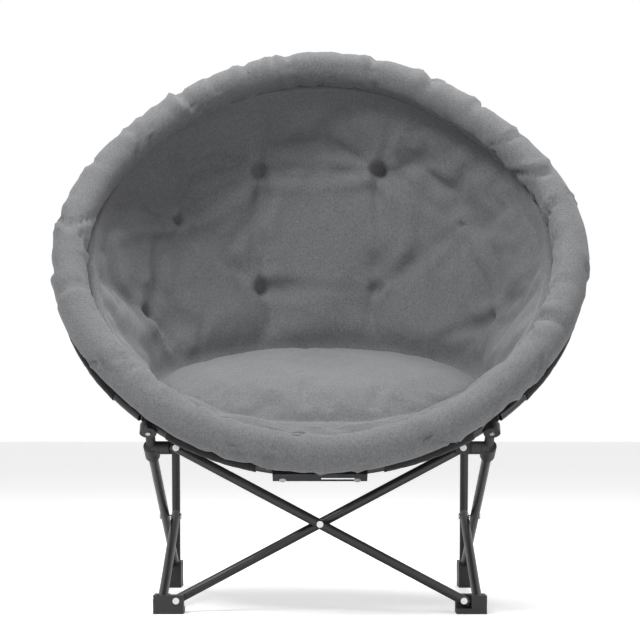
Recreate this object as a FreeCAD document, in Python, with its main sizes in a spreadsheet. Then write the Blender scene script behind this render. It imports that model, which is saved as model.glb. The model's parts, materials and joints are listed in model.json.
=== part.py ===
"""Folding saucer chair: a padded round seat on a tilted folding ring and a crossed tube base.

Frame: X to the sitter's left seen from the front (the viewer's right), Y to the back, Z up.
Lengths are in millimetres. The origin is under the middle of the chair, on the floor.
"""
import FreeCAD, Part
import math
import os

from FreeCAD import Placement, Rotation, Vector

DOC = FreeCAD.newDocument("SaucerChair")
SHEET = DOC.addObject("Spreadsheet::Sheet", "Sizes")

SIZES = [
    ("tube_diameter", 16.0, "outside diameter of every frame tube"),
    ("tube_wall", 1.2, "wall of the frame tubes"),
    ("cross_length", 540.0, "front cross tube, pivot to pivot"),
    ("cross_angle", 62.0, "cross tube from the vertical when open, degrees"),
    ("cross_offset", 9.5, "cross tube centre line in front of or behind the cross plane"),
    ("cross_end", 9.0, "cross tube past its pivot"),
    ("plug_length", 4.0, "plug in the open end of a tube"),
    ("foot_pivot_height", 22.0, "foot pivot above the floor"),
    ("strut_inset", 24.0, "strut centre line outside the cross pivot"),
    ("rail_inset", 43.0, "side rail centre line outside the cross pivot"),
    ("rail_tail", 235.0, "side rail from its middle pivot to the end in the rear foot"),
    ("ring_radius", 455.0, "ring tube centre line"),
    ("ring_tilt", 56.0, "ring plane from the floor, degrees"),
    ("ring_front_y", -90.0, "front of the ring from the cross plane"),
    ("ring_front_z", 237.0, "front of the ring above the floor"),
    ("bracket_half", 60.0, "hinge bracket rivet from its middle"),
    ("bracket_length", 152.0, "hinge bracket channel"),
    ("bracket_sheet", 2.0, "hinge bracket metal"),
    ("bracket_gap", 31.0, "inside width of the hinge bracket"),
    ("rivet_diameter", 6.0, "rivet shank"),
    ("rivet_head", 11.0, "rivet head diameter"),
    ("pin_diameter", 8.0, "hinge pin"),
    ("run_clearance", 0.06, "radial clearance of pins and rivets that turn"),
    ("eye_diameter", 28.0, "eye at the end of a ring tube"),
    ("eye_length", 16.0, "length of that eye along its pin"),
    ("corner_half", 5.0, "half length of the corner joint block along the pin"),
    ("front_foot_width", 50.0, "front foot, side to side"),
    ("front_foot_depth", 36.0, "front foot, front to back"),
    ("front_foot_height", 31.0, "front foot"),
    ("rear_foot_height", 50.0, "rear foot"),
    ("pad_thickness", 34.0, "padding over the sling"),
    ("roll_radius", 33.0, "padded roll round the rim"),
    ("roll_lift", 49.0, "padded roll in front of the ring plane"),
    ("roll_rise", 10.0, "padded roll towards the top of the ring"),
    ("roll_ring_radius", 424.0, "centre line of the padded roll"),
    ("sling_thickness", 3.0, "black fabric sling under the padding"),
]

for row, (alias, value, note) in enumerate(SIZES, start=1):
    SHEET.set("A%d" % row, alias)
    SHEET.set("B%d" % row, str(value))
    SHEET.setAlias("B%d" % row, alias)
    SHEET.set("C%d" % row, note)
DOC.recompute()

SIZE = {alias: float(SHEET.get(alias)) for alias, value, note in SIZES}
PARTS = []

TUBE_R = SIZE["tube_diameter"] / 2
RIVET_R = SIZE["rivet_diameter"] / 2
PIN_R = SIZE["pin_diameter"] / 2
RUN = SIZE["run_clearance"]
OPEN = math.radians(SIZE["cross_angle"])
HALF = SIZE["cross_length"] / 2
PIVOT_X = HALF * math.sin(OPEN)
FOOT_Z = SIZE["foot_pivot_height"]
LUG_Z = FOOT_Z + SIZE["cross_length"] * math.cos(OPEN)
MID_Z = (FOOT_Z + LUG_Z) / 2
SIDE_Y = HALF * math.sin(OPEN)
STRUT_X = PIVOT_X + SIZE["strut_inset"]
RAIL_X = PIVOT_X + SIZE["rail_inset"]
TILT = math.radians(SIZE["ring_tilt"])
RING_R = SIZE["ring_radius"]
RING_Y = SIZE["ring_front_y"] + RING_R * math.cos(TILT)
RING_Z = SIZE["ring_front_z"] + RING_R * math.sin(TILT)
CORNER_X = RAIL_X
CORNER_U = math.sqrt(RING_R ** 2 - CORNER_X ** 2)
LEG_DROP = 38.0
SWING = SIZE["cross_end"] + 3.6

X_AXIS = Vector(1, 0, 0)
Y_AXIS = Vector(0, 1, 0)
Z_AXIS = Vector(0, 0, 1)
RING_PLACE = Placement(Vector(0, RING_Y, RING_Z), Rotation(X_AXIS, SIZE["ring_tilt"]))
SIDES = (("left", -1), ("right", 1))


def ring_point(x, along, out=0.0):
    """A point given in the ring's own plane, as a point of the chair."""
    return RING_PLACE.multVec(Vector(x, along, out))


def aim(start, end):
    """The placement that lays a Z-long shape from start towards end."""
    return Placement(start, Rotation(Z_AXIS, end.sub(start)))


def keep(obj, label):
    """Give a finished object its part name."""
    obj.Label = label
    PARTS.append(obj)
    return obj


def cylinder(name, radius, height, place=None):
    """A round bar whose radius and height follow the sheet."""
    obj = DOC.addObject("Part::Cylinder", name)
    obj.setExpression("Radius", radius)
    obj.setExpression("Height", height)
    if place is not None:
        obj.Placement = place
    return obj


def box(name, size, place):
    """A block with its middle on the placement's point."""
    obj = DOC.addObject("Part::Box", name)
    for edge, text in zip(("Length", "Width", "Height"), size):
        obj.setExpression(edge, text)
    DOC.recompute()
    middle = Vector(obj.Length.Value / 2, obj.Width.Value / 2, obj.Height.Value / 2)
    obj.Placement = place.multiply(Placement(middle.negative(), Rotation()))
    return obj


def fuse(name, shapes):
    """Join several objects into one solid."""
    obj = DOC.addObject("Part::MultiFuse", name)
    obj.Shapes = shapes
    obj.Refine = True
    return obj


def cut(name, base, tools):
    """Take tool objects out of a base, one after another."""
    tool = tools[0] if len(tools) == 1 else fuse(name + "Tools", tools)
    obj = DOC.addObject("Part::Cut", name)
    obj.Base = base
    obj.Tool = tool
    obj.Refine = True
    return obj


BORE = "Sizes.tube_diameter / 2 - Sizes.tube_wall"
RADIUS = "Sizes.tube_diameter / 2"
RIVET = "Sizes.rivet_diameter / 2"
RIVET_HOLE = "Sizes.rivet_diameter / 2 + Sizes.run_clearance"
PIN_HOLE = "Sizes.pin_diameter / 2 + Sizes.run_clearance"


def round_tube(name, length, holes=()):
    """A straight tube along Z. holes are (height, axis, radius text) of cross drillings."""
    outer = cylinder(name + "Outer", RADIUS, length)
    tools = [cylinder(name + "Bore", BORE, length)]
    for index, (height, axis, radius) in enumerate(holes):
        start = Vector(0, 0, height).sub(Vector(axis).multiply(2 * TUBE_R))
        place = aim(start, Vector(0, 0, height))
        tools.append(cylinder("%sHole%d" % (name, index), radius, "2 * Sizes.tube_diameter", place))
    return cut(name + "Tube", outer, tools)


def rivet(label, start, end, low_head=True, high_head=True):
    """A headed rivet from start to end, with its heads outside that length."""
    length = end.sub(start).Length
    shank = cylinder(label + "Shank", RIVET, "%.4f" % length)
    pieces = [shank]
    head_height = 2.0
    if low_head:
        low = Placement(Vector(0, 0, -head_height), Rotation())
        pieces.append(cylinder(label + "Low", "Sizes.rivet_head / 2", "%g" % head_height, low))
    if high_head:
        high = Placement(Vector(0, 0, length), Rotation())
        pieces.append(cylinder(label + "High", "Sizes.rivet_head / 2", "%g" % head_height, high))
    obj = fuse(label + "Body", pieces)
    obj.Placement = aim(start, end)
    return keep(obj, label)


def tube_plug(label, end, inward):
    """A moulded plug pressed into the open end of a tube, flush with it."""
    plug = cylinder(label + "Body", BORE, "Sizes.plug_length")
    plug.Placement = aim(end, end.add(inward))
    keep(plug, label)


def front_cross():
    """The two front cross tubes and the rivet where they meet."""
    end = SIZE["cross_end"]
    length = "Sizes.cross_length + 2 * Sizes.cross_end"
    for label, side, plane in (("cross_tube_front", -1, -1), ("cross_tube_rear", 1, 1)):
        holes = []
        for height in (end, end + HALF, end + 2 * HALF):
            holes.append((height, X_AXIS, RIVET_HOLE))
        tube = round_tube(label, length, holes)
        depth = plane * SIZE["cross_offset"]
        top = Vector(side * PIVOT_X, depth, LUG_Z)
        bottom = Vector(-side * PIVOT_X, depth, FOOT_Z)
        along = bottom.sub(top).normalize()
        start = top.sub(Vector(along).multiply(end))
        turn = Rotation(Y_AXIS, Vector(0, 0, 0), along, "ZXY")
        tube.Placement = Placement(start, turn)
        keep(tube, label)
        tube_plug(label + "_plug_top", start, along)
        tube_plug(label + "_plug_low", bottom.add(Vector(along).multiply(end)), along.negative())
    reach = SIZE["cross_offset"] + TUBE_R + 0.3
    rivet("cross_rivet", Vector(0, -reach, MID_Z), Vector(0, reach, MID_Z))


def side_rail(side_name, side):
    """The rail from the corner joint down to the rear foot."""
    rail = round_tube("rail_" + side_name, "Sizes.cross_length / 2 + Sizes.rail_tail - 4",
                      [(HALF - 4, X_AXIS, RIVET)])
    top = Vector(side * RAIL_X, 0, LUG_Z)
    pivot = Vector(side * RAIL_X, SIDE_Y, MID_Z)
    along = pivot.sub(top).normalize()
    rail.Placement = Placement(top.add(Vector(along).multiply(4)),
                               Rotation(X_AXIS, Vector(0, 0, 0), along, "ZXY"))
    keep(rail, "side_rail_" + side_name)
    inner = side * (STRUT_X - TUBE_R - 0.3)
    outer = side * (RAIL_X + TUBE_R)
    rivet("strut_rivet_" + side_name, Vector(outer, SIDE_Y, MID_Z), Vector(inner, SIDE_Y, MID_Z))


def side_strut(side_name, side):
    """The swinging strut from the rail's middle to the front foot."""
    end = SIZE["cross_end"]
    holes = [(end, X_AXIS, RIVET_HOLE), (end + HALF, X_AXIS, RIVET_HOLE)]
    strut = round_tube("strut_" + side_name, "Sizes.cross_length / 2 + 2 * Sizes.cross_end", holes)
    foot = Vector(side * STRUT_X, 0, FOOT_Z)
    pivot = Vector(side * STRUT_X, SIDE_Y, MID_Z)
    along = foot.sub(pivot).normalize()
    strut.Placement = Placement(pivot.sub(Vector(along).multiply(end)),
                                Rotation(X_AXIS, Vector(0, 0, 0), along, "ZXY"))
    keep(strut, "front_strut_" + side_name)
    tube_plug("strut_plug_low_" + side_name, foot.add(Vector(along).multiply(end)), along.negative())
    tube_plug("strut_plug_top_" + side_name, pivot.sub(Vector(along).multiply(end)), along)


def rear_leg(side_name, side):
    """The long leg from the rear foot up to the ring's upper joint."""
    foot, top = leg_ends(side)
    leg = round_tube("leg_" + side_name, "%.4f" % top.sub(foot).Length)
    leg.Placement = aim(foot, top)
    keep(leg, "rear_leg_" + side_name)


def rail_end(side):
    """The rear end of a side rail."""
    drop = Vector(0, math.sin(OPEN), -math.cos(OPEN))
    pivot = Vector(side * RAIL_X, SIDE_Y, MID_Z)
    return pivot.add(drop.multiply(SIZE["rail_tail"]))


def leg_ends(side):
    """Lower and upper end of a rear leg."""
    rail = rail_end(side)
    foot = Vector(side * RAIL_X, rail.y + TUBE_R + 10, 14)
    return foot, ring_point(side * CORNER_X, CORNER_U, -LEG_DROP)


def rear_foot(side_name, side):
    """The moulded rear foot that holds the rail and the rear leg."""
    rail = rail_end(side)
    foot, top = leg_ends(side)
    front = rail.y - 22
    back = foot.y + TUBE_R + 5
    height = SIZE["rear_foot_height"]
    middle = Placement(Vector(side * RAIL_X, (front + back) / 2, height / 2), Rotation())
    block = box("rearBlock_" + side_name,
                ("Sizes.tube_diameter + 8", "%.4f" % (back - front), "Sizes.rear_foot_height"), middle)
    drop = Vector(0, math.sin(OPEN), -math.cos(OPEN))
    rail_tool = cylinder("rearRailSocket_" + side_name, RADIUS, "120",
                         aim(rail.sub(Vector(drop).multiply(120)), rail))
    leg_tool = cylinder("rearLegSocket_" + side_name, RADIUS, "120", aim(foot, top))
    solid = cut("rearFootBody_" + side_name, block, [rail_tool, leg_tool])
    keep(solid, "rear_foot_" + side_name)


def front_foot(side_name, side):
    """The moulded front foot: a wall for the cross tube and cheeks for the strut."""
    plane = -side
    inner = PIVOT_X - 12
    half_depth = SIZE["front_foot_depth"] / 2
    middle = Vector(side * (inner + SIZE["front_foot_width"] / 2), 0, SIZE["front_foot_height"] / 2)
    block = box("footBlock_" + side_name,
                ("Sizes.front_foot_width", "Sizes.front_foot_depth", "Sizes.front_foot_height"),
                Placement(middle, Rotation()))
    floor = FOOT_Z - SWING
    room_x = (inner - 10 + PIVOT_X + SWING) / 2
    cross_room = box("footCrossRoom_" + side_name, ("%.4f" % (SWING + 22), "60", "60"),
                     Placement(Vector(side * room_x, plane * (30 + 1.2), floor + 30), Rotation()))
    strut_room = box("footStrutRoom_" + side_name, ("Sizes.tube_diameter + 1", "60", "60"),
                     Placement(Vector(side * STRUT_X, 30 - SWING, floor + 30), Rotation()))
    cross_hole = cylinder("footCrossHole_" + side_name, RIVET, "80",
                          aim(Vector(side * PIVOT_X, -40, FOOT_Z), Vector(side * PIVOT_X, 40, FOOT_Z)))
    strut_hole = cylinder("footStrutHole_" + side_name, RIVET, "60",
                          aim(Vector(side * (PIVOT_X + SWING), 0, FOOT_Z),
                              Vector(side * (STRUT_X + 60), 0, FOOT_Z)))
    body = cut("footBody_" + side_name, block, [cross_room, strut_room, cross_hole, strut_hole])
    keep(body, "front_foot_" + side_name)
    face = Vector(side * PIVOT_X, -plane * half_depth, FOOT_Z)
    far = Vector(side * PIVOT_X, plane * (SIZE["cross_offset"] + TUBE_R + 0.3), FOOT_Z)
    rivet("foot_rivet_" + side_name, face, far)
    cheek = inner + SIZE["front_foot_width"]
    rivet("strut_pin_" + side_name, Vector(side * cheek, 0, FOOT_Z),
          Vector(side * (PIVOT_X + SWING), 0, FOOT_Z), True, False)


def cross_lug(side_name, side):
    """The lug that holds the upper end of a cross tube and turns on the corner joint's pin."""
    plane = side
    hub_start = PIVOT_X + SWING + 0.4
    hub_end = RAIL_X - CORNER_HALF - 0.4
    base_y = -1.2 if plane < 0 else 1.2 - 6.5
    edge_y = base_y + 3.25
    plate_x = side * (PIVOT_X - 12 + hub_start + 2) / 2
    plate = box("lugPlate_" + side_name, ("%.4f" % (hub_start + 2 - PIVOT_X + 12), "6.5", "22"),
                Placement(Vector(plate_x, edge_y, LUG_Z), Rotation()))
    hub = cylinder("lugHub_" + side_name, "11", "%.4f" % (hub_end - hub_start),
                   aim(Vector(side * hub_start, 0, LUG_Z), Vector(side * hub_end, 0, LUG_Z)))
    body = fuse("lugBody_" + side_name, [plate, hub])
    pin_hole = cylinder("lugPinHole_" + side_name, PIN_HOLE, "80",
                        aim(Vector(side * (hub_start - 1), 0, LUG_Z), Vector(side * 400, 0, LUG_Z)))
    rivet_hole = cylinder("lugRivetHole_" + side_name, RIVET, "80",
                          aim(Vector(side * PIVOT_X, -40, LUG_Z), Vector(side * PIVOT_X, 40, LUG_Z)))
    keep(cut("lug_" + side_name, body, [pin_hole, rivet_hole]), "cross_lug_" + side_name)
    outer = plane * (SIZE["cross_offset"] + TUBE_R + 0.3)
    inner = base_y if plane > 0 else base_y + 6.5
    rivet("lug_rivet_" + side_name, Vector(side * PIVOT_X, outer, LUG_Z),
          Vector(side * PIVOT_X, inner, LUG_Z))
    pin = cylinder("lugPin_" + side_name, "Sizes.pin_diameter / 2",
                   "%.4f" % (RAIL_X - CORNER_HALF + 5 - hub_start))
    pin.Placement = aim(Vector(side * hub_start, 0, LUG_Z), Vector(side * 400, 0, LUG_Z))
    keep(pin, "lug_pin_" + side_name)


CORNER_HALF = 13.0
PIN_REACH = 24.0
BLOCK_HALF = 10.0


def ring_frame(obj):
    """Place a shape that was built in the ring's own plane."""
    obj.Placement = RING_PLACE.multiply(obj.Placement)
    return obj


def ring_pin(label, x, along):
    """The pin that two ring tubes turn on, along the slope of the ring."""
    pin = cylinder(label + "Bar", "Sizes.pin_diameter / 2", "%.4f" % (2 * PIN_REACH),
                   aim(Vector(x, along - PIN_REACH, 0), Vector(x, along + PIN_REACH, 0)))
    keep(ring_frame(pin), label)


def lower_corner(side_name, side):
    """The moulded joint under the front corner: ring block, arm and rail socket in one."""
    x = side * CORNER_X
    hold = box("cornerBlock_" + side_name,
               ("%g" % (2 * BLOCK_HALF), "Sizes.corner_half * 2", "%g" % (BLOCK_HALF + 20)),
               RING_PLACE.multiply(Placement(Vector(x, -CORNER_U, (BLOCK_HALF - 20) / 2), Rotation())))
    neck = ring_point(x, -CORNER_U, -18.2)
    base = Vector(x, 0, LUG_Z)
    arm = cylinder("cornerArm_" + side_name, "8", "%.4f" % base.sub(neck).Length, aim(neck, base))
    drop = Vector(0, math.sin(OPEN), -math.cos(OPEN))
    collar = cylinder("cornerCollar_" + side_name, "Sizes.tube_diameter / 2 + 4.5", "34",
                      aim(base.sub(Vector(drop).multiply(6)), base.add(drop)))
    boss = cylinder("cornerBoss_" + side_name, "11", "%g" % (CORNER_HALF),
                    aim(Vector(side * (RAIL_X - CORNER_HALF), 0, LUG_Z), base))
    body = fuse("cornerBody_" + side_name, [hold, arm, collar, boss])
    socket = cylinder("cornerSocket_" + side_name, RADIUS, "200",
                      aim(base.add(Vector(drop).multiply(4)), base.add(Vector(drop).multiply(9))))
    lug_pin = cylinder("cornerPinHole_" + side_name, "Sizes.pin_diameter / 2",
                       "5", aim(Vector(side * (RAIL_X - CORNER_HALF), 0, LUG_Z), base))
    ring_hole = cylinder("cornerRingHole_" + side_name, "Sizes.pin_diameter / 2", "60",
                         aim(ring_point(x, -CORNER_U - 30), ring_point(x, -CORNER_U + 30)))
    keep(cut("corner_" + side_name, body, [socket, lug_pin, ring_hole]), "corner_joint_" + side_name)
    ring_pin("corner_pin_" + side_name, x, -CORNER_U)


def upper_corner(side_name, side):
    """The moulded joint at the back of the ring, with a socket for the rear leg."""
    x = side * CORNER_X
    hold = box("backBlock_" + side_name,
               ("%g" % (2 * BLOCK_HALF), "Sizes.corner_half * 2", "%g" % (BLOCK_HALF + 32)),
               RING_PLACE.multiply(Placement(Vector(x, CORNER_U, (BLOCK_HALF - 32) / 2), Rotation())))
    foot, top = leg_ends(side)
    down = foot.sub(top).normalize()
    collar = cylinder("backCollar_" + side_name, "Sizes.tube_diameter / 2 + 4", "36",
                      aim(top.sub(Vector(down).multiply(8)), foot))
    body = fuse("backBody_" + side_name, [hold, collar])
    socket = cylinder("backSocket_" + side_name, RADIUS, "200", aim(top, foot))
    ring_hole = cylinder("backRingHole_" + side_name, "Sizes.pin_diameter / 2", "60",
                         aim(ring_point(x, CORNER_U - 30), ring_point(x, CORNER_U + 30)))
    keep(cut("back_" + side_name, body, [socket, ring_hole]), "back_joint_" + side_name)
    ring_pin("back_pin_" + side_name, x, CORNER_U)


def torus(name, radius, start, sweep):
    """Part of a ring round the middle of the ring plane."""
    obj = DOC.addObject("Part::Torus", name)
    obj.setExpression("Radius1", "Sizes.ring_radius")
    obj.setExpression("Radius2", radius)
    obj.Angle3 = sweep
    obj.Placement = Placement(Vector(), Rotation(Z_AXIS, start))
    return obj


def eye(name, x, along):
    """The round eye at the end of a ring tube, about a pin that lies along the slope."""
    half = SIZE["eye_length"] / 2
    return cylinder(name, "Sizes.eye_diameter / 2", "Sizes.eye_length",
                    aim(Vector(x, along - half, 0), Vector(x, along + half, 0)))


def ring_tube(label, start, sweep, eyes, drill=None):
    """One bent tube of the ring with its eyes, drilled for the rivet of a hinge bracket."""
    outer = torus(label + "Outer", RADIUS, start, sweep)
    inner = torus(label + "Inner", BORE, start, sweep)
    pieces = [cut(label + "Hollow", outer, [inner])]
    tools = []
    for index, (x, along) in enumerate(eyes):
        pieces.append(eye("%sEye%d" % (label, index), x, along))
        tools.append(cylinder("%sPinHole%d" % (label, index), PIN_HOLE, "60",
                              aim(Vector(x, along - 30, 0), Vector(x, along + 30, 0))))
    if drill is not None:
        x, along, radius = drill
        tools.append(cylinder(label + "Drill", radius, "60",
                              aim(Vector(x, along - 30, 0), Vector(x, along + 30, 0))))
    body = cut(label + "Body", fuse(label + "Joined", pieces), tools)
    return keep(ring_frame(body), label)


def ring_tubes():
    """The six tubes of the ring: two at the front, one on each side and two at the back."""
    eye_step = SIZE["corner_half"] + 1 + SIZE["eye_length"] / 2
    corner = math.degrees(math.asin(CORNER_X / RING_R))
    short = 2.2
    tip = math.degrees(math.asin((SIZE["bracket_half"] - 8) / RING_R))
    for side_name, side in SIDES:
        x = side * CORNER_X
        middle = 90 + side * -90
        sweep = 180 - 2 * (corner + short)
        ring_tube("ring_side_" + side_name, middle - sweep / 2, sweep,
                  [(x, -CORNER_U + eye_step), (x, CORNER_U - eye_step)])
        pinned = RIVET_HOLE if side < 0 else RIVET
        reach = corner - short - tip
        for name, facing in (("front", -1), ("back", 1)):
            centre = 270 if facing < 0 else 90
            turn = side if facing < 0 else -side
            near = centre + turn * tip
            far = centre + turn * (corner - short)
            drill = (side * SIZE["bracket_half"], facing * RING_R, pinned)
            ring_tube("ring_%s_%s" % (name, side_name), min(near, far), reach,
                      [(x, facing * (CORNER_U + eye_step))], drill)


def hinge_bracket(name, facing):
    """The channel that joins two ring tubes, pinned on the left and slotted on the right."""
    label = "hinge_bracket_" + name
    sheet = SIZE["bracket_sheet"]
    middle = facing * (RING_R + 11.5 - SIZE["bracket_gap"] / 2)
    top = 13.0
    low = -6.0
    outer = box(label + "Outer", ("Sizes.bracket_length", "Sizes.bracket_gap + 2 * Sizes.bracket_sheet",
                                  "%g + Sizes.bracket_sheet" % (top - low)),
                Placement(Vector(0, middle, (top + sheet + low) / 2), Rotation()))
    room = box(label + "Room", ("Sizes.bracket_length + 20", "Sizes.bracket_gap", "%g" % (top - low + 20)),
               Placement(Vector(0, middle, (top + low - 20) / 2), Rotation()))
    half = SIZE["bracket_half"]
    hole = cylinder(label + "Hole", RIVET, "80",
                    aim(Vector(-half, middle - 40, 0), Vector(-half, middle + 40, 0)))
    slot_start = 2.0
    slot_end = half + SIZE["rivet_diameter"] / 2 + 0.4
    slot = box(label + "Slot", ("%.4f" % (slot_end - slot_start), "80", "Sizes.rivet_diameter + 0.8"),
               Placement(Vector((slot_start + slot_end) / 2, middle, 0), Rotation()))
    body = cut(label + "Body", outer, [room, hole, slot])
    keep(ring_frame(body), label)
    reach = SIZE["bracket_gap"] / 2 + sheet + 0.3
    for side_name, side in SIDES:
        low_end = ring_point(side * half, middle - reach)
        high_end = ring_point(side * half, middle + reach)
        rivet("%s_rivet_%s" % (name, side_name), low_end, high_end)


def bowl_section(radius, place):
    """A circle wire on a placement, one section of the bowl."""
    circle = Part.Circle(Vector(0, 0, 0), Z_AXIS, radius)
    wire = Part.Wire([circle.toShape()])
    wire.Placement = place
    return wire


def bowl(inset, top):
    """A solid bowl that fills the ring, smaller by an inset all round, cut at a rim height."""
    normal = Rotation(X_AXIS, SIZE["ring_tilt"])
    centre = Vector(0, RING_Y, RING_Z)
    rim = centre.add(normal.multVec(Vector(0, 0, top)))
    rim_radius = RING_R - TUBE_R - 17 - inset
    lean_mid = Rotation(X_AXIS, SIZE["ring_tilt"] * 0.68)
    lean_low = Rotation(X_AXIS, SIZE["ring_tilt"] * 0.3)
    middle = Vector(0, RING_Y + 46, RING_Z - 155).add(lean_mid.multVec(Vector(0, 0, inset)))
    low = Vector(0, RING_Y + 34, RING_Z - 278).add(lean_low.multVec(Vector(0, 0, inset)))
    sections = [
        bowl_section(rim_radius, Placement(rim, normal)),
        bowl_section(RING_R * 0.77 - inset, Placement(middle, lean_mid)),
        bowl_section(RING_R * 0.54 - inset, Placement(low, lean_low)),
    ]
    return Part.makeLoft(sections, True, False)


def soft_parts():
    """The black sling, the grey padding in it and the padded roll round the rim."""
    thickness = SIZE["sling_thickness"]
    sling = bowl(0.0, -8.0).cut(bowl(thickness, 0.0))
    gap = thickness + 3.0
    pad = bowl(gap, 10.0).cut(bowl(gap + SIZE["pad_thickness"], 26.0))
    for label, shape in (("sling", sling), ("seat_pad", pad)):
        obj = DOC.addObject("Part::Feature", label + "Shape")
        obj.Shape = shape
        keep(obj, label)
    roll = DOC.addObject("Part::Torus", "rollRing")
    roll.setExpression("Radius1", "Sizes.roll_ring_radius")
    roll.setExpression("Radius2", "Sizes.roll_radius")
    roll.Placement = Placement(Vector(0, SIZE["roll_rise"], SIZE["roll_lift"]), Rotation())
    keep(ring_frame(roll), "rim_roll")


def check_document():
    """Stop when any object failed to build."""
    for obj in DOC.Objects:
        if "Invalid" in obj.State or "Error" in obj.State:
            raise RuntimeError("object failed: " + obj.Name)
    for obj in PARTS:
        if obj.Shape.isNull() or not obj.Shape.isValid():
            raise RuntimeError("bad shape: " + obj.Label)


def centre_depth():
    """Move every part so that the floor point under the middle of the chair is the origin."""
    depths = [point.y for obj in PARTS for point in obj.Shape.tessellate(0.3)[0]]
    middle = (min(depths) + max(depths)) / 2
    for obj in PARTS:
        place = obj.Placement
        obj.Placement = Placement(place.Base.sub(Vector(0, middle, 0)), place.Rotation)
    print("cross plane at Y %.6f" % -middle)


def build():
    """Build every sub-part and write one file for each."""
    front_cross()
    for side_name, side in SIDES:
        side_rail(side_name, side)
        side_strut(side_name, side)
        rear_leg(side_name, side)
        rear_foot(side_name, side)
        front_foot(side_name, side)
        cross_lug(side_name, side)
        lower_corner(side_name, side)
        upper_corner(side_name, side)
    ring_tubes()
    hinge_bracket("front", -1)
    hinge_bracket("top", 1)
    soft_parts()
    DOC.recompute()
    centre_depth()
    DOC.recompute()
    check_document()
    os.makedirs("parts", exist_ok=True)
    for obj in PARTS:
        obj.Shape.exportStep("parts/%s.step" % obj.Label)
        print(obj.Label, "solids", len(obj.Shape.Solids), "volume %.0f" % obj.Shape.Volume)


build()
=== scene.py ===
# %% [markdown]
# # A folding saucer chair
# The chair is a padded bowl on a tilted ring of tubes with a crossed base. The tubes, joints and feet
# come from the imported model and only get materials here. The cushion, the padded rim and the black
# sling are modelled in this file and take the place of plain soft solids. The cloth sleeves on the
# ring tubes are modelled here too, and stand for no solid.

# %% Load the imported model
import json
import math

import bpy
import numpy as np
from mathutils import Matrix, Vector, noise


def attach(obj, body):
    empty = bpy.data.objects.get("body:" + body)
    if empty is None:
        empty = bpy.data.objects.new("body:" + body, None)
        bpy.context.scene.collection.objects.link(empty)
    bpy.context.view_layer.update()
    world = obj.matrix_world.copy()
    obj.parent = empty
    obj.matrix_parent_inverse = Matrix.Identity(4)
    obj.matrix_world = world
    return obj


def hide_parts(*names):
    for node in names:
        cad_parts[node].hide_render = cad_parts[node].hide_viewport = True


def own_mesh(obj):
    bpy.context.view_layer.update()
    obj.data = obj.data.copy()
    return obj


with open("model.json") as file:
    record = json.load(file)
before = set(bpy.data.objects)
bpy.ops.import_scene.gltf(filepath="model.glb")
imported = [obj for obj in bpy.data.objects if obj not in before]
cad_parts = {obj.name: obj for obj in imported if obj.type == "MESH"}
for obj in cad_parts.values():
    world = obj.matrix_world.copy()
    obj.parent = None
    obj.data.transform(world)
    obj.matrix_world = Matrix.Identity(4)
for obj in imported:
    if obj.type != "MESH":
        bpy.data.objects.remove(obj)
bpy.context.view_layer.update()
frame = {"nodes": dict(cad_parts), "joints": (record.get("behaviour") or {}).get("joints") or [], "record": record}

# %% [markdown]
# The ring of tubes gives a natural frame for the soft parts: x across, u up the slope and n out
# towards the sitter. Its middle is read from the hinges of the four short ring tubes.

# %% The frame of the ring
TILT = math.radians(56)
ARC_JOINTS = ("front_arc_left_fold", "front_arc_right_fold", "back_arc_left_fold", "back_arc_right_fold")
arc_pivots = [Vector(j["pos_m"]) for j in frame["joints"] if j["name"] in ARC_JOINTS]
RING_CENTRE = sum(arc_pivots, Vector()) / len(arc_pivots)
SLOPE = Vector((0, math.cos(TILT), math.sin(TILT)))
OUT = Vector((0, -math.sin(TILT), math.cos(TILT)))
RING_RADIUS = 0.455
TOWARD_SITTER = np.array([0, -0.5, 0.85])
print("ring centre", [round(c, 4) for c in RING_CENTRE])


def ring_points(x, u, n):
    """Ring coordinates as points of the chair. x, u and n are arrays."""
    centre = np.array(RING_CENTRE)
    return (centre + np.multiply.outer(x, [1.0, 0, 0]) + np.multiply.outer(u, np.array(SLOPE))
            + np.multiply.outer(n, np.array(OUT)))


# %% [markdown]
# A long lens in front of the chair, low above the floor and level, gives the view of the photograph.
# The frame is shifted up instead of tilting the camera, so that upright lines stay upright.

# %% Camera
CROSS_PIVOT = [Vector(j["pos_m"]) for j in frame["joints"] if j["name"] == "cross_pivot"][0]
CAMERA_DISTANCE = 2.6
CAMERA_HEIGHT = 0.3
HORIZON_SHIFT = 0.1766
LENS_MM = 87.75
SENSOR_MM = 36
PHOTO_SIZE = 640

camera_data = bpy.data.cameras.new("camera")
camera_data.lens = LENS_MM
camera_data.sensor_width = SENSOR_MM
camera_data.shift_y = HORIZON_SHIFT
camera = bpy.data.objects.new("camera", camera_data)
camera.location = (0, CROSS_PIVOT.y - CAMERA_DISTANCE, CAMERA_HEIGHT)
camera.rotation_euler = (math.radians(90), 0, 0)
bpy.context.scene.collection.objects.link(camera)
bpy.context.scene.camera = camera


def photo_pixel(points):
    """Where points of the chair fall in the photograph, in its pixels."""
    depth = points[:, 1] - camera.location.y
    focal = camera_data.lens / camera_data.sensor_width * PHOTO_SIZE
    middle = PHOTO_SIZE / 2
    column = middle + focal * points[:, 0] / depth
    row = middle + HORIZON_SHIFT * PHOTO_SIZE - focal * (points[:, 2] - CAMERA_HEIGHT) / depth
    return np.stack([column, row], axis=1)


# %% [markdown]
# Operators act on everything that is selected, so small helpers clear the selection first.

# %% Helpers for selection and vertices
MERGE_WITHIN = 0.00005


def deselect():
    """Leave nothing selected."""
    bpy.ops.object.select_all(action="DESELECT")


def select_only(obj):
    """Make a piece the only selected one, and the active one."""
    deselect()
    obj.select_set(True)
    bpy.context.view_layer.objects.active = obj


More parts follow.
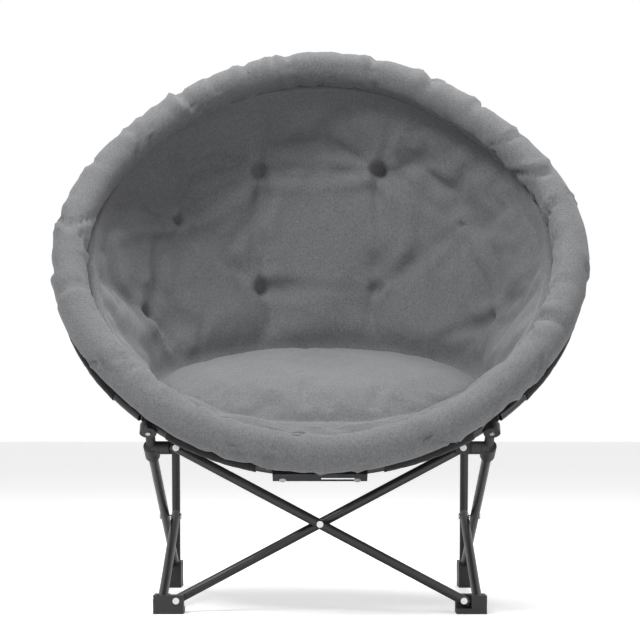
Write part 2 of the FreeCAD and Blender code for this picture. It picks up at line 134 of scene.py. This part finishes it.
def vertex_array(obj):
    """The vertices of a mesh as an array."""
    flat = np.empty(len(obj.data.vertices) * 3)
    obj.data.vertices.foreach_get("co", flat)
    return flat.reshape(-1, 3)


def set_vertices(obj, points):
    """Move the vertices of a mesh to an array of points."""
    obj.data.vertices.foreach_set("co", np.asarray(points, float).ravel())
    obj.data.update()


def normals_of(obj):
    """The vertex normals of a mesh as an array."""
    flat = np.empty(len(obj.data.vertices) * 3)
    obj.data.vertex_normals.foreach_get("vector", flat)
    return flat.reshape(-1, 3)


def apply_all(obj):
    """Apply the modifiers of a piece and smooth its shading."""
    select_only(obj)
    for modifier in list(obj.modifiers):
        bpy.ops.object.modifier_apply(modifier=modifier.name)
    bpy.ops.object.shade_smooth()


def edit_all(obj):
    """Open a piece in edit mode with all of it selected."""
    select_only(obj)
    bpy.ops.object.mode_set(mode="EDIT")
    bpy.ops.mesh.select_all(action="SELECT")


def outward(obj):
    """Merge doubles and make the faces agree. On a closed piece they then face outwards."""
    edit_all(obj)
    bpy.ops.mesh.remove_doubles(threshold=MERGE_WITHIN)
    bpy.ops.mesh.normals_make_consistent(inside=False)
    bpy.ops.object.mode_set(mode="OBJECT")


def turn_over(obj):
    """Turn every face of a piece to its other side."""
    edit_all(obj)
    bpy.ops.mesh.flip_normals()
    bpy.ops.object.mode_set(mode="OBJECT")


def square_grid(name, columns, rows):
    """A flat square grid from -1 to 1 both ways, with its vertices as an array."""
    deselect()
    bpy.ops.mesh.primitive_grid_add(x_subdivisions=columns, y_subdivisions=rows, size=2)
    obj = bpy.context.object
    obj.name = name
    return obj, vertex_array(obj)


def bowl_grid(name, rings, segments):
    """A square grid that is still to be bent into a bowl.

    Returns it with the share of the radius and the turn that each vertex stands for.
    """
    obj, flat = square_grid(name, segments, rings)
    share = (flat[:, 1] + 1) / 2
    turn = flat[:, 0] * math.pi
    return obj, share, turn


def thicken(obj, wall):
    """Give a sheet a wall at the back of its faces."""
    solid = obj.modifiers.new("wall", "SOLIDIFY")
    solid.thickness = wall
    solid.offset = -1


def smooth_noise(points, scale, seed):
    """Smooth noise from -1 to 1 at points, at a number of waves per metre."""
    shift = Vector((seed * 7.3, seed * 3.1, seed * 5.7))
    return np.array([noise.noise(Vector(p) * scale + shift) for p in points])


def round_noise(turn, waves, height, seed):
    """Smooth noise on a circle of that many units, so that it meets itself after a whole turn."""
    return smooth_noise(np.stack([np.sin(turn) * waves, np.cos(turn) * waves, height], axis=1), 1, seed)


# %% [markdown]
# The seat is a bowl with a floor of its own. Each line from the middle to the rim crosses the floor,
# turns at the crease and climbs a curved wall. The wall's curve has its bend point far behind the
# ring at the back and close to it at the front, where the wall is low.

# %% The surface of the bowl
CREASE = 0.46
FLOOR_MIDDLE = np.array([0, 0.011, 0.392])
FLOOR_TILT = math.radians(17)
FLOOR_HALF_WIDTH = 0.285
FLOOR_HALF_DEPTH = 0.215
RIM_REACH = 0.398
RIM_OUT = 0.020
BEND_REACH, BEND_REACH_MORE = 0.372, 0.018
BEND_OUT, BEND_BEHIND = 0.008, 0.163
CROWN_HEIGHT = 0.022
CROWN_UP = np.array([0, -0.29, 0.957])


def bowl_surface(share, turn):
    """Points of the seat's inner surface: share 0 is the middle, 1 the rim, and turn 0 the front."""
    side, ahead = np.sin(turn), -np.cos(turn)
    back = (1 - np.cos(turn)) / 2
    floor_edge = FLOOR_MIDDLE + np.stack([
        FLOOR_HALF_WIDTH * side, FLOOR_HALF_DEPTH * ahead * math.cos(FLOOR_TILT),
        FLOOR_HALF_DEPTH * ahead * math.sin(FLOOR_TILT)], axis=1)
    rim = ring_points(RIM_REACH * side, RIM_REACH * ahead, np.full(len(turn), RIM_OUT))
    bend_reach = BEND_REACH + BEND_REACH_MORE * back
    bend = ring_points(bend_reach * side, bend_reach * ahead, BEND_OUT - BEND_BEHIND * back)
    inside = np.clip(share / CREASE, 0, 1)[:, None]
    crown = CROWN_HEIGHT * (1 - inside ** 2) * CROWN_UP
    floor = FLOOR_MIDDLE + (floor_edge - FLOOR_MIDDLE) * inside + crown
    climb = np.clip((share - CREASE) / (1 - CREASE), 0, 1)[:, None]
    wall = (1 - climb) ** 2 * floor_edge + 2 * (1 - climb) * climb * bend + climb ** 2 * rim
    return np.where(share[:, None] <= CREASE, floor, wall)


# %% [markdown]
# The cover is tufted: at a few points the cloth is sewn through the padding, and folds run from each
# of them to its neighbours. The points are placed where the photograph shows them, on the surface.
# A fold joins two marks: the first eight are the tufts, the others are ends of folds on open cloth.

# %% Seat cushion
TUFT_PIXELS = [(263, 170), (381, 170), (177, 222), (464, 226), (265, 286), (378, 288), (148, 314),
               (492, 317)]
FOLD_ENDS = [(96, 232), (548, 232), (92, 268), (556, 262), (284, 350), (360, 350), (192, 362), (450, 362),
             (300, 96), (398, 104), (205, 300), (436, 304), (232, 348), (408, 348)]
FOLDS = [(0, 1), (0, 4), (1, 5), (2, 8), (3, 9), (2, 4), (3, 5), (4, 5), (4, 12), (5, 13), (6, 10), (7, 11),
         (6, 14), (7, 15), (0, 16), (1, 17), (2, 18), (3, 19), (0, 2), (1, 3), (6, 20), (7, 21), (2, 6),
         (3, 7)]
PAD_THICKNESS = 0.030
PAD_RINGS, PAD_SEGMENTS = 72, 180

# The first, broad shape: the crease round the floor, a dimple at each tuft and soft lumps.
FLOOR_TOP = 0.48
CREASE_DEPTH, CREASE_WIDTH = 0.012, 0.045
DIMPLE_DEPTH, DIMPLE_WIDTH = 0.013, 0.040
LUMP_HEIGHT, LUMP_WAVES = 0.004, 8

# Where the cloth is sewn down while it is blown out.
TUFT_HOLD, TUFT_HOLD_WIDTH = 1.6, 0.014
RIM_SEWN_BEYOND = 0.392
CREASE_SEWN_ABOVE = 0.8
PUFF = 2.5
SLACK = 0.022
MOST_SWELL = 0.014
CLOTH_STEPS = 18

# The last, fine shape: tufts, and folds that are a sharp line with a soft ridge beside it.
GRAIN_HEIGHT, GRAIN_WAVES = 0.0012, 30
TUFT_DEPTH, TUFT_WIDTH = 0.010, 0.016
FOLD_DRIFT = 0.009
FOLD_DEPTH, FOLD_WIDTH = 0.0115, 0.008
RIDGE_HEIGHT, RIDGE_WIDTH, RIDGE_BESIDE = 0.0065, 0.014, 0.022


def near_line(points, start, end):
    """Distance of each point from the straight line between two marks, and its share along it."""
    run = end - start
    share = np.clip(((points - start) @ run) / (run @ run), 0, 1)
    return np.linalg.norm(points - (start + share[:, None] * run), axis=1), share


def swell(obj, hold, pressure, slack, most):
    """Blow a cloth out against its sewn points, with some spare cloth, and keep the result.

    hold is 1 where a point is sewn down and 0 where it is free. No point moves more than most.
    """
    before = vertex_array(obj)
    group = obj.vertex_groups.new(name="sewn")
    for index, weight in enumerate(hold):
        if weight > 0.01:
            group.add([index], float(weight), "REPLACE")
    cloth = obj.modifiers.new("cloth", "CLOTH")
    settings = cloth.settings
    settings.quality = 6
    settings.mass = 0.3
    settings.tension_stiffness = 25
    settings.compression_stiffness = 12
    settings.shear_stiffness = 8
    settings.bending_stiffness = 0.6
    settings.air_damping = 4
    settings.use_pressure = True
    settings.uniform_pressure_force = pressure
    settings.shrink_min = -slack
    settings.vertex_group_mass = "sewn"
    settings.pin_stiffness = 1
    settings.effector_weights.gravity = 0
    scene = bpy.context.scene
    cloth.point_cache.frame_start = 1
    cloth.point_cache.frame_end = CLOTH_STEPS + 2
    for step in range(1, CLOTH_STEPS + 1):
        scene.frame_set(step)
    select_only(obj)
    bpy.ops.object.modifier_apply(modifier="cloth")
    scene.frame_set(1)
    obj.vertex_groups.clear()
    moved = vertex_array(obj) - before
    length = np.linalg.norm(moved, axis=1)
    capped = np.minimum(length, most) / np.maximum(length, 1e-9)
    set_vertices(obj, before + moved * capped[:, None])
    print(obj.name, "swelled by up to", round(float(length.max()), 4))


pad, pad_share, pad_turn = bowl_grid("seat_cushion", PAD_RINGS, PAD_SEGMENTS)
set_vertices(pad, bowl_surface(pad_share, pad_turn))
outward(pad)
if (normals_of(pad) @ TOWARD_SITTER).mean() < 0:
    turn_over(pad)
pad_points = vertex_array(pad)
pad_normals = normals_of(pad)
pixels = photo_pixel(pad_points)
marks = [pad_points[np.argmin(((pixels - spot) ** 2).sum(axis=1))] for spot in TUFT_PIXELS + FOLD_ENDS]
tufts = marks[:len(TUFT_PIXELS)]

edge = np.linalg.norm((pad_points - FLOOR_MIDDLE)[:, :2]
                      / np.array([FLOOR_HALF_WIDTH, FLOOR_HALF_DEPTH * math.cos(FLOOR_TILT)]), axis=1)
in_floor = pad_points[:, 2] < FLOOR_TOP
crease = np.exp(-((edge - 1) / CREASE_WIDTH) ** 2) * in_floor
sewn = np.zeros(len(pad_points))
sink = -CREASE_DEPTH * crease
for spot in tufts:
    distance = np.linalg.norm(pad_points - spot, axis=1)
    sewn = np.maximum(sewn, np.clip(TUFT_HOLD - distance / TUFT_HOLD_WIDTH, 0, 1))
    sink -= DIMPLE_DEPTH * np.exp(-(distance / DIMPLE_WIDTH) ** 2)
sink += LUMP_HEIGHT * smooth_noise(pad_points, LUMP_WAVES, 1)
rim_distance = np.linalg.norm(pad_points - np.array(RING_CENTRE), axis=1)
sewn = np.maximum(sewn, rim_distance > RIM_SEWN_BEYOND)
sewn = np.maximum(sewn, (crease > CREASE_SEWN_ABOVE) * 1.0)
set_vertices(pad, pad_points + pad_normals * sink[:, None])
swell(pad, sewn, PUFF, SLACK, MOST_SWELL)
finer = pad.modifiers.new("finer", "SUBSURF")
finer.levels = finer.render_levels = 1
thicken(pad, PAD_THICKNESS)
apply_all(pad)

fine_points = vertex_array(pad)
relief = GRAIN_HEIGHT * smooth_noise(fine_points, GRAIN_WAVES, 2)
for spot in tufts:
    distance = np.linalg.norm(fine_points - spot, axis=1)
    relief -= TUFT_DEPTH * np.exp(-(distance / TUFT_WIDTH) ** 2)
for index, (first, second) in enumerate(FOLDS):
    distance, share = near_line(fine_points, marks[first], marks[second])
    drift = FOLD_DRIFT * np.sin(share * (4 + index % 3) + index)
    # A fold between two tufts is weakest half way, one to open cloth fades away along its run.
    strength = 0.4 + 0.6 * np.abs(2 * share - 1) if second < len(tufts) else 1 - share
    strength = strength * (0.75 + 0.25 * np.cos(index * 2.1))
    relief -= FOLD_DEPTH * strength * np.exp(-np.abs(distance - drift) / FOLD_WIDTH)
    relief += RIDGE_HEIGHT * strength * np.exp(-((distance - drift - RIDGE_BESIDE) / RIDGE_WIDTH) ** 2)
set_vertices(pad, fine_points + normals_of(pad) * relief[:, None])
print("seat cushion", len(pad.data.polygons), "faces")

# %% [markdown]
# The padded rim is one long roll. Its cover is gathered along the seam, so many short folds run
# across it. Its outline is a circle that reaches a little further at the front and a little less at
# the top, given as a few cosine terms of the turn, and every fold has its own size.

# %% Padded rim
ROLL_OUTLINE = (0.4597, 0.0258, 0.0018, -0.0041, 0.0065)
ROLL_RADIUS = 0.031
ROLL_OUT = 0.047
ROLL_UP = 0.008
ROLL_SEGMENTS, ROLL_SIDES = 256, 56
GATHERS = 74
GATHER_SHIFT = 0.045
GATHER_DEPTH = (0.0030, 0.0125)
GATHER_WIDTH = (0.006, 0.015)
GATHER_LEAN = 0.11
GATHER_RIDGE = 0.45
SEAM_SIDE = math.radians(205)
SEAM_DEPTH, SEAM_SPREAD = 0.004, 0.02
WANDER, WANDER_WAVES = 0.003, 3
RIPPLE, RIPPLE_WAVES = 0.0014, 12


def wrapped(angle):
    """An angle brought to within half a turn of zero."""
    return (angle + math.pi) % (2 * math.pi) - math.pi


deselect()
bpy.ops.mesh.primitive_torus_add(major_segments=ROLL_SEGMENTS, minor_segments=ROLL_SIDES, major_radius=1,
                                 minor_radius=0.25)
roll = bpy.context.object
roll.name = "rim_roll_cushion"
round_points = vertex_array(roll)
turn = np.arctan2(round_points[:, 0], -round_points[:, 1])
reach = np.hypot(round_points[:, 0], round_points[:, 1])
across = np.arctan2(round_points[:, 2], reach - 1)

rng = np.random.default_rng(7)
gather_turns = np.sort(np.linspace(-math.pi, math.pi, GATHERS, endpoint=False)
                       + rng.uniform(-GATHER_SHIFT, GATHER_SHIFT, GATHERS))
gather_depths = rng.uniform(*GATHER_DEPTH, GATHERS)
gather_widths = rng.uniform(*GATHER_WIDTH, GATHERS)
gather_leans = rng.uniform(-GATHER_LEAN, GATHER_LEAN, GATHERS)
gather_sides = rng.uniform(-math.pi, math.pi, GATHERS)
thick = np.full(len(turn), ROLL_RADIUS)
for place, depth, width, lean, facing in zip(gather_turns, gather_depths, gather_widths, gather_leans,
                                             gather_sides):
    away = wrapped(turn - place - lean * np.sin(across))
    strength = np.clip(0.45 + 0.55 * np.cos(across - facing), 0, 1)
    thick -= depth * strength * np.exp(-np.abs(away) / width)
    thick += GATHER_RIDGE * depth * strength * np.exp(-((away - 3 * width) / (1.6 * width)) ** 2)
seam = np.exp(-wrapped(across - SEAM_SIDE) ** 2 / SEAM_SPREAD)
thick -= SEAM_DEPTH * seam
outline = sum(term * np.cos(order * turn) for order, term in enumerate(ROLL_OUTLINE))
middle_reach = outline - ROLL_RADIUS
middle_reach = middle_reach + WANDER * round_noise(turn, WANDER_WAVES, across * 0.25, 3)
thick = thick + RIPPLE * round_noise(turn, RIPPLE_WAVES, np.sin(across), 4)
distance = middle_reach + thick * np.cos(across)
level = ROLL_OUT + thick * np.sin(across)
set_vertices(roll, ring_points(distance * np.sin(turn), ROLL_UP - distance * np.cos(turn), level))
outward(roll)
apply_all(roll)
print("padded rim", len(roll.data.polygons), "faces")

# %% [markdown]
# Under the cushion hangs a sling of plain black cloth. It follows the bowl a little further out. Its
# edge ends 1 to 2 cm inside the ring of tubes and 1 to 3 cm behind it. It is a thin sheet, so it is
# one surface with a small wall.

# %% Black sling
SLING_RINGS, SLING_SEGMENTS = 90, 240
SLING_GAP = 0.036
SLING_WALL = 0.0012
SAG, SAG_WAVES = 0.002, 7
EDGE_BEHIND = 0.030
EDGE_STARTS, EDGE_BAND = 0.06, 0.08

sling, sling_share, sling_turn = bowl_grid("sling_cloth", SLING_RINGS, SLING_SEGMENTS)
set_vertices(sling, bowl_surface(sling_share, sling_turn))
outward(sling)
sling_points = vertex_array(sling)
sling_normals = normals_of(sling)
if (sling_normals @ TOWARD_SITTER).mean() > 0:
    sling_normals = -sling_normals
sling_level = (sling_points - np.array(RING_CENTRE)) @ np.array(OUT)
edge_share = np.clip((sling_level + EDGE_STARTS) / EDGE_BAND, 0, 1)
offset = SLING_GAP + SAG * smooth_noise(sling_points, SAG_WAVES, 5)
moved = sling_points + sling_normals * offset[:, None]
set_vertices(sling, moved - np.array(OUT) * (EDGE_BEHIND * edge_share)[:, None])
thicken(sling, SLING_WALL)
apply_all(sling)
outward(sling)

# %% [markdown]
# The ring tubes run through cloth sleeves that end the sling. Each tube has its own sleeve, a piece
# apart from the sling, so that it can fold away with its tube. A sleeve is a bent tube, a little
# wrinkled, with open ends.

# %% Sleeves on the ring tubes
SLEEVE_RADIUS = 0.0098
SLEEVE_WALL = 0.0008
SLEEVE_SIDES = 28
STEPS_PER_DEGREE = 2.2
WRINKLE, WRINKLE_WAVES = 0.0009, 40
SLEEVES = [("side_left", 48, 132, -1, "arc_side_left"), ("side_right", 48, 132, 1, "arc_side_right"),
           ("front_left", 13, 33, -1, "arc_front_left"), ("front_right", 13, 33, 1, "arc_front_right"),
           ("back_left", 147, 167, -1, "arc_back_left"), ("back_right", 147, 167, 1, "arc_back_right")]


def sleeve(name, first, last, side):
    """A cloth tube round the ring from one turn to another, in degrees from the front."""
    obj, flat = square_grid("sleeve_" + name, int((last - first) * STEPS_PER_DEGREE), SLEEVE_SIDES)
    along = math.radians(first) + (flat[:, 0] + 1) / 2 * math.radians(last - first)
    round_turn = flat[:, 1] * math.pi
    radius = SLEEVE_RADIUS + WRINKLE * round_noise(along, WRINKLE_WAVES, np.sin(round_turn) * 2, 6)
    distance = RING_RADIUS + radius * np.cos(round_turn)
    set_vertices(obj, ring_points(side * distance * np.sin(along), -distance * np.cos(along),
                                  radius * np.sin(round_turn)))
    outward(obj)
    thicken(obj, SLEEVE_WALL)
    apply_all(obj)
    outward(obj)
    return obj


sleeves = [(sleeve(name, first, last, side), body) for name, first, last, side, body in SLEEVES]

# %% [markdown]
# The grey cover is a melange cloth: light and dark yarns cross in a fine plain weave. Two wave
# patterns make the weave, noise mixes the yarn colours, and a bump gives the threads their relief.

# %% Materials
YARNS_PER_SCALE = 6.3
SLUB_SHARE, FINE_SHARE, BROAD_SHARE = 0.55, 0.35, 0.10


def new_material(name):
    """An empty node material, its node tree and its shader."""
    material = bpy.data.materials.new(name)
    material.use_nodes = True
    shader = material.node_tree.nodes["Principled BSDF"]
    return material, material.node_tree, shader


def add(tree, kind, **values):
    """A node with some of its inputs set."""
    node = tree.nodes.new(kind)
    for key, value in values.items():
        node.inputs[key].default_value = value
    return node


def ramp(tree, source, stops):
    """A colour ramp on a value."""
    node = tree.nodes.new("ShaderNodeValToRGB")
    tree.links.new(source, node.inputs["Fac"])
    elements = node.color_ramp.elements
    while len(elements) < len(stops):
        elements.new(0.5)
    for element, (place, colour) in zip(elements, stops):
        element.position = place
        element.color = (*colour, 1)
    return node


def math_node(tree, operation, first, second):
    """A math node on two values, each a socket or a number."""
    node = tree.nodes.new("ShaderNodeMath")
    node.operation = operation
    for index, value in enumerate((first, second)):
        if isinstance(value, (int, float)):
            node.inputs[index].default_value = value
        else:
            tree.links.new(value, node.inputs[index])
    return node.outputs[0]


def woven(name, dark, light, yarns, roughness, strength):
    """A woven cloth with about that many yarns per metre. One wave of the weave is two yarns."""
    material, tree, shader = new_material(name)
    place = tree.nodes.new("ShaderNodeTexCoord").outputs["Object"]
    heights = []
    for direction in ("X", "Z"):
        wave = add(tree, "ShaderNodeTexWave", Scale=yarns / YARNS_PER_SCALE, Distortion=1.6, Detail=2.0)
        wave.inputs["Detail Scale"].default_value = 2.0
        wave.bands_direction = direction
        tree.links.new(place, wave.inputs["Vector"])
        heights.append(wave.outputs["Fac"])
    weave = math_node(tree, "MULTIPLY", heights[0], heights[1])
    fine = add(tree, "ShaderNodeTexNoise", Scale=1100.0, Detail=3.0, Roughness=0.7)
    broad = add(tree, "ShaderNodeTexNoise", Scale=9.0, Detail=4.0)
    slub = add(tree, "ShaderNodeTexNoise", Scale=420.0, Detail=2.0)
    stretch = add(tree, "ShaderNodeMapping", Scale=(1.0, 0.6, 0.6))
    tree.links.new(place, stretch.inputs["Vector"])
    tree.links.new(stretch.outputs[0], slub.inputs["Vector"])
    for node in (fine, broad):
        tree.links.new(place, node.inputs["Vector"])
    mixed = math_node(tree, "ADD", math_node(tree, "MULTIPLY", slub.outputs["Fac"], SLUB_SHARE),
                      math_node(tree, "MULTIPLY", fine.outputs["Fac"], FINE_SHARE))
    mixed = math_node(tree, "ADD", mixed, math_node(tree, "MULTIPLY", broad.outputs["Fac"], BROAD_SHARE))
    colours = ramp(tree, mixed, [(0.30, dark), (0.70, light)])
    tree.links.new(colours.outputs["Color"], shader.inputs["Base Color"])
    bump = add(tree, "ShaderNodeBump", Strength=strength, Distance=0.0006)
    relief = math_node(tree, "ADD", weave, math_node(tree, "MULTIPLY", fine.outputs["Fac"], 0.6))
    tree.links.new(relief, bump.inputs["Height"])
    tree.links.new(bump.outputs["Normal"], shader.inputs["Normal"])
    shader.inputs["Roughness"].default_value = roughness
    shader.inputs["Sheen Weight"].default_value = 0.15
    shader.inputs["Specular IOR Level"].default_value = 0.25
    return material


def coated(name, dark, light, low, high, grain, relief, metallic=0.0):
    """A painted, moulded or bare surface with faint wear.

    Its colour goes from dark to light and its roughness from low to high. grain is how fine its bump
    is and relief how strong.
    """
    material, tree, shader = new_material(name)
    place = tree.nodes.new("ShaderNodeTexCoord").outputs["Object"]
    broad = add(tree, "ShaderNodeTexNoise", Scale=30.0, Detail=5.0)
    fine = add(tree, "ShaderNodeTexNoise", Scale=grain, Detail=2.0)
    for node in (broad, fine):
        tree.links.new(place, node.inputs["Vector"])
    colours = ramp(tree, broad.outputs["Fac"], [(0.3, dark), (0.75, light)])
    tree.links.new(colours.outputs["Color"], shader.inputs["Base Color"])
    gloss = ramp(tree, broad.outputs["Fac"], [(0.3, (low,) * 3), (0.7, (high,) * 3)])
    tree.links.new(gloss.outputs["Color"], shader.inputs["Roughness"])
    bump = add(tree, "ShaderNodeBump", Strength=relief, Distance=0.0003)
    tree.links.new(fine.outputs["Fac"], bump.inputs["Height"])
    tree.links.new(bump.outputs["Normal"], shader.inputs["Normal"])
    shader.inputs["Metallic"].default_value = metallic
    return material


GREY_CLOTH = woven("grey_melange_cloth", (0.075, 0.077, 0.080), (0.165, 0.167, 0.172), 620, 0.92, 0.5)
BLACK_CLOTH = woven("black_sling_cloth", (0.006, 0.006, 0.007), (0.020, 0.020, 0.022), 700, 0.85, 0.5)
BLACK_COAT = coated("black_powder_coat", (0.008, 0.008, 0.009), (0.016, 0.016, 0.018),
                    0.30, 0.42, 900, 0.25)
BLACK_MOULDED = coated("black_moulded_plastic", (0.010, 0.010, 0.011), (0.020, 0.020, 0.022),
                       0.45, 0.62, 1400, 0.5)
BRIGHT_STEEL = coated("bright_rivet_steel", (0.55, 0.55, 0.56), (0.74, 0.74, 0.75),
                      0.22, 0.38, 700, 0.2, metallic=1.0)
FINISH = {"black_tube": BLACK_COAT, "black_plastic": BLACK_MOULDED, "bright_steel": BRIGHT_STEEL,
          "grey_fabric": GREY_CLOTH, "black_fabric": BLACK_CLOTH}


def coat(obj, slot_name):
    """Give a piece the material of its slot, and no other."""
    obj.data.materials.clear()
    obj.data.materials.append(FINISH[slot_name])


for part in frame["record"]["subparts"]:
    coat(frame["nodes"][part["node"]], part["material_slot"])

# %% [markdown]
# The cushion, the rim and the sling ride on the left side frame and stand for their plain solids. The
# seat can't follow the folding frame. Each sleeve rides on its own ring tube.

# %% What each piece rides on and stands for
SOFT_PIECES = [(pad, "seat_pad", "grey_fabric", 0.6), (roll, "rim_roll", "grey_fabric", 0.8),
               (sling, "sling", "black_fabric", None)]

for piece, node, slot_name, fill in SOFT_PIECES:
    coat(piece, slot_name)
    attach(piece, "left_side")
    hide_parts(node)
for piece in (pad, roll, sling):
    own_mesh(piece)
for piece, body in sleeves:
    coat(piece, "black_fabric")
    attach(piece, body)

# %% [markdown]
# A wide flat floor, a pale world and three large soft lamps give the even light of a studio. To the
# camera the floor and the world look brighter than the light they give.

# %% Floor and light
FLOOR_SHADE = (0.86, 0.86, 0.86, 1)
FLOOR_GLOW = 0.42
WORLD_LIGHT, WORLD_SEEN = 0.36, 1.0
LAMP_TARGET = Vector((0, 0, 0.5))
LAMPS = [("key", (-1.2, -1.6, 3.0), 1.2, 105), ("fill", (2.4, -2.4, 1.2), 2.0, 24),
         ("top", (0.4, 0.3, 3.0), 1.0, 70)]

deselect()
bpy.ops.mesh.primitive_plane_add(size=60, location=(0, 20, 0))
floor = bpy.context.object
floor.name = "studio_floor"
floor_material, floor_tree, floor_shader = new_material("pale_floor")
floor_shader.inputs["Base Color"].default_value = FLOOR_SHADE
floor_shader.inputs["Roughness"].default_value = 0.6
floor_shader.inputs["Emission Color"].default_value = (1, 1, 1, 1)
floor_rays = floor_tree.nodes.new("ShaderNodeLightPath")
floor_glow = math_node(floor_tree, "MULTIPLY", floor_rays.outputs["Is Camera Ray"], FLOOR_GLOW)
floor_tree.links.new(floor_glow, floor_shader.inputs["Emission Strength"])
floor.data.materials.append(floor_material)

world = bpy.data.worlds.new("studio")
bpy.context.scene.world = world
world.use_nodes = True
world_tree = world.node_tree
background = world_tree.nodes["Background"]
background.inputs["Color"].default_value = (1, 1, 1, 1)
rays = world_tree.nodes.new("ShaderNodeLightPath")
seen = math_node(world_tree, "MAXIMUM", rays.outputs["Is Camera Ray"], rays.outputs["Is Glossy Ray"])
level = world_tree.nodes.new("ShaderNodeMapRange")
level.inputs["To Min"].default_value = WORLD_LIGHT
level.inputs["To Max"].default_value = WORLD_SEEN
world_tree.links.new(seen, level.inputs["Value"])
world_tree.links.new(level.outputs[0], background.inputs["Strength"])

for name, place, size, power in LAMPS:
    lamp = bpy.data.lights.new(name, "AREA")
    lamp.size = size
    lamp.energy = power
    obj = bpy.data.objects.new(name, lamp)
    obj.location = place
    obj.rotation_euler = (LAMP_TARGET - Vector(place)).to_track_quat("-Z", "Y").to_euler()
    bpy.context.scene.collection.objects.link(obj)
bpy.context.scene.view_settings.view_transform = "Standard"
